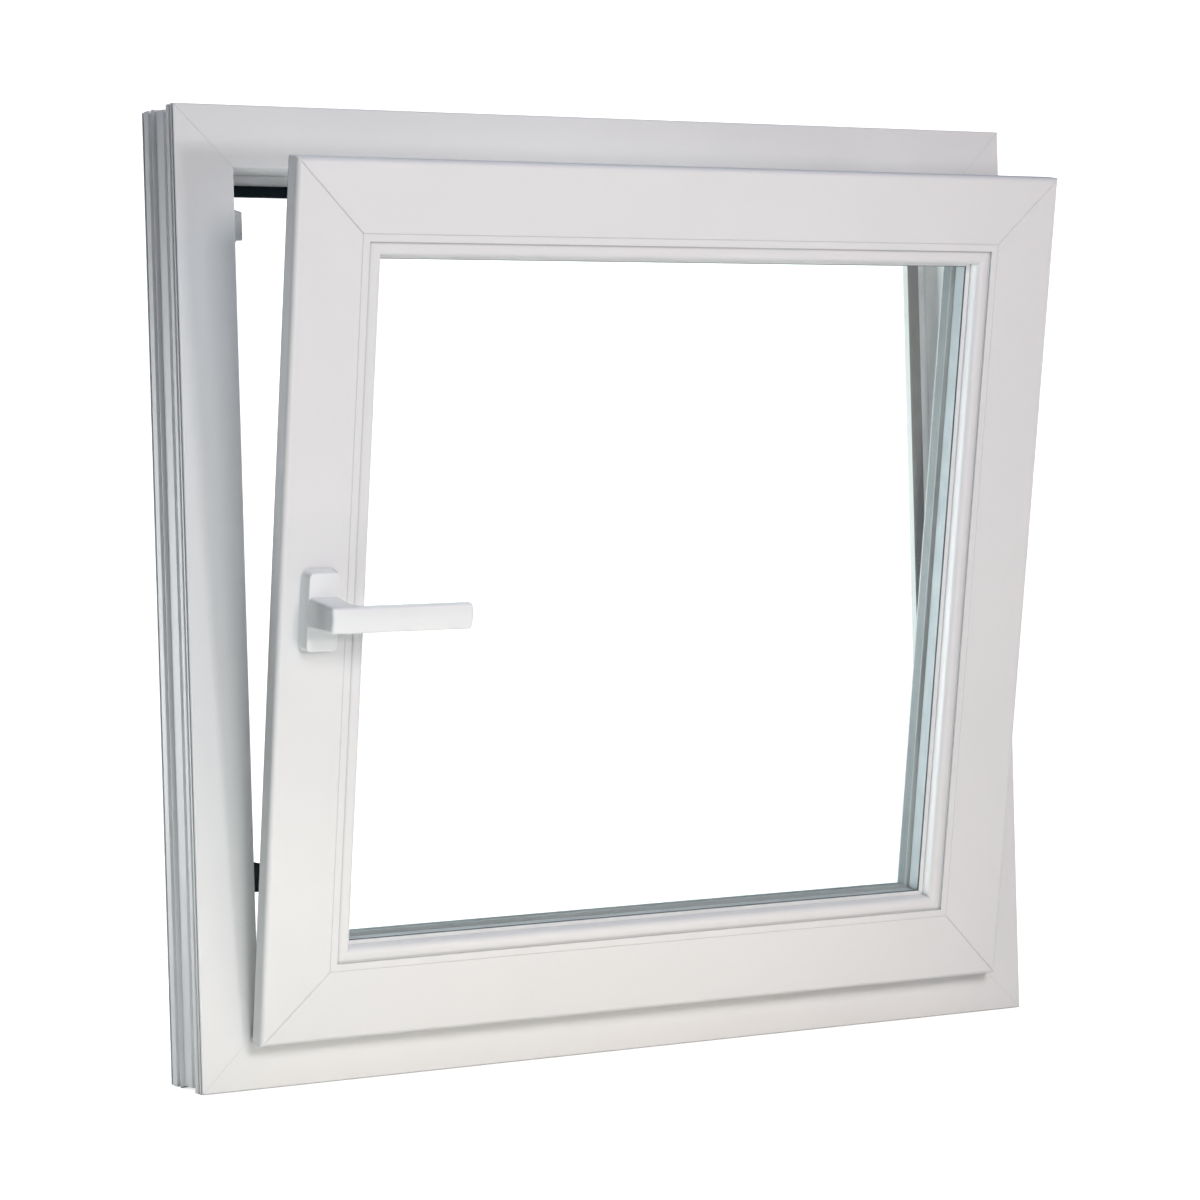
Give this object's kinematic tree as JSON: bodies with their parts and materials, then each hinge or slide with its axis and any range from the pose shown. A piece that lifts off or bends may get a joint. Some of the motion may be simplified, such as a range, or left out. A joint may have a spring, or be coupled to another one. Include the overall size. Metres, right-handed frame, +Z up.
{
  "type": "pvc tilt window",
  "caption": "Square white plastic window: mitred frame with wall grooves, and a double-glazed sash that tilts inwards on concealed sill bearings and a stay arm, with a lever handle.",
  "frame": {"origin": "on the flat land under the sill, at the middle of the window's width, 14 mm behind the room face", "axes": "+X to the right as seen from the room, +Y from the room to the outside, +Z up"},
  "size_m": [0.8, 0.2214, 0.8],
  "materials": {
    "white_pvc": "smooth satin white",
    "black_seal": "matte black seal rubber",
    "grey_gasket": "matte light grey gasket",
    "clear_glass": "clear float glass",
    "spacer_aluminium": "mill finish",
    "cast_zinc": "dull grey zinc casting",
    "black_plastic": "matte black",
    "zinc_plated_steel": "bright zinc plated",
    "handle_white": "semi-gloss white powder coat"
  },
  "bodies": {
    "frame": {"frame_sill": "white_pvc", "frame_head": "white_pvc", "frame_jamb_left": "white_pvc", "frame_jamb_right": "white_pvc", "frame_lip_seal": "black_seal", "keep_upper": "cast_zinc", "keep_lower": "black_plastic", "tilt_bearings": "zinc_plated_steel", "stay_bearing": "zinc_plated_steel"},
    "sash": {"glass_pane_outside": "clear_glass", "glass_pane_room": "clear_glass", "glass_spacer": "spacer_aluminium", "glazing_bead_bottom": "white_pvc", "glazing_bead_left": "white_pvc", "glazing_bead_right": "white_pvc", "glazing_bead_top": "white_pvc", "glazing_gasket_outside": "grey_gasket", "glazing_gasket_room": "grey_gasket", "handle_plate": "handle_white", "locking_bar_left": "zinc_plated_steel", "locking_bar_right": "zinc_plated_steel", "sash_bottom_rail": "white_pvc", "sash_overlap_seal": "black_seal", "sash_stile_left": "white_pvc", "sash_stile_right": "white_pvc", "sash_top_rail": "white_pvc", "stay_track": "zinc_plated_steel", "tilt_feet": "zinc_plated_steel"},
    "handle": {"handle_lever": "handle_white"},
    "stay": {"stay_arm": "zinc_plated_steel"}
  },
  "joints": [
    {"name": "sash_tilt", "type": "hinge", "parent": "frame", "child": "sash", "pos_m": [0, -0.01, 0.046], "axis": [-1, 0, 0], "range_deg": [0, 10.4]},
    {"name": "handle_turn", "type": "hinge", "parent": "sash", "child": "handle", "pos_m": [-0.3245, -0.10166, 0.39031], "axis": [0, 0.9836, 0.1805], "range_deg": [-90, 90]},
    {"name": "stay_swing", "type": "hinge", "parent": "frame", "child": "stay", "pos_m": [0.27, -0.007, 0.742], "axis": [0, 0.0863, -0.9963], "range_deg": [0, 24.87]}
  ],
  "couplings": [
    {"joint": "stay_swing", "follows": "sash_tilt", "ratio": 2.3912}
  ]
}
